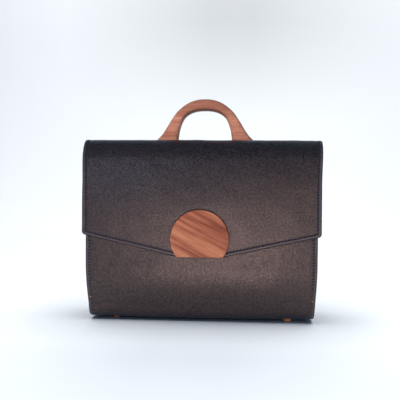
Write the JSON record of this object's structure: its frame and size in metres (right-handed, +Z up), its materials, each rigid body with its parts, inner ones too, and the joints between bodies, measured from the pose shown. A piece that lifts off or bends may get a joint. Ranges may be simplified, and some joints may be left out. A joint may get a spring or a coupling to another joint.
{
  "type": "satchel bag",
  "caption": "Leather flap satchel with a wooden arch handle on top, a wooden disc closure on the flap and small wooden feet.",
  "frame": {"origin": "centre of the footprint, on the surface the feet stand on", "axes": "+X along the width, -Y towards the front with the disc, +Z up"},
  "size_m": [0.37, 0.1318, 0.3555],
  "materials": {
    "leather": "semi-matte dark brown with burnished edges",
    "lining": "woven cotton",
    "board": "stiff fibre board",
    "wood": "oiled, satin",
    "steel": "plated",
    "copper": "polished copper colour"
  },
  "bodies": {
    "bag": {"back_board": "board", "back_facing": "leather", "back_lining": "lining", "back_panel": "leather", "base_board": "board", "base_lining": "lining", "base_panel": "leather", "body_magnet": "steel", "body_magnet_plate": "steel", "flap_rear_lining": "lining", "flap_rear_panel": "leather", "foot_back_left": "wood", "foot_back_right": "wood", "foot_front_left": "wood", "foot_front_right": "wood", "foot_screws": "steel", "front_board": "board", "front_facing": "leather", "front_lining": "lining", "front_panel": "leather", "gusset_left": "leather", "gusset_lining_left": "lining", "gusset_lining_right": "lining", "gusset_right": "leather", "pocket_binding": "leather", "seam_rivets": "copper", "slip_pocket": "lining"},
    "flap_top": {"flap_top_panel": "leather", "flap_top_lining": "lining", "handle": "wood", "handle_plate": "steel", "handle_screws": "steel", "handle_washers": "steel"},
    "flap_front": {"flap_front_panel": "leather", "flap_front_lining": "lining", "closure_disc": "wood", "disc_screws": "steel", "disc_washers": "steel", "flap_magnet": "steel"}
  },
  "joints": [
    {"name": "flap_back_fold", "type": "hinge", "parent": "bag", "child": "flap_top", "pos_m": [0, 0.05711, 0.27721], "axis": [-1, 0, 0], "range_deg": [0, 115]},
    {"name": "flap_front_fold", "type": "hinge", "parent": "flap_top", "child": "flap_front", "pos_m": [0, -0.04972, 0.27692], "axis": [-1, 0, 0], "range_deg": [0, 95]}
  ]
}
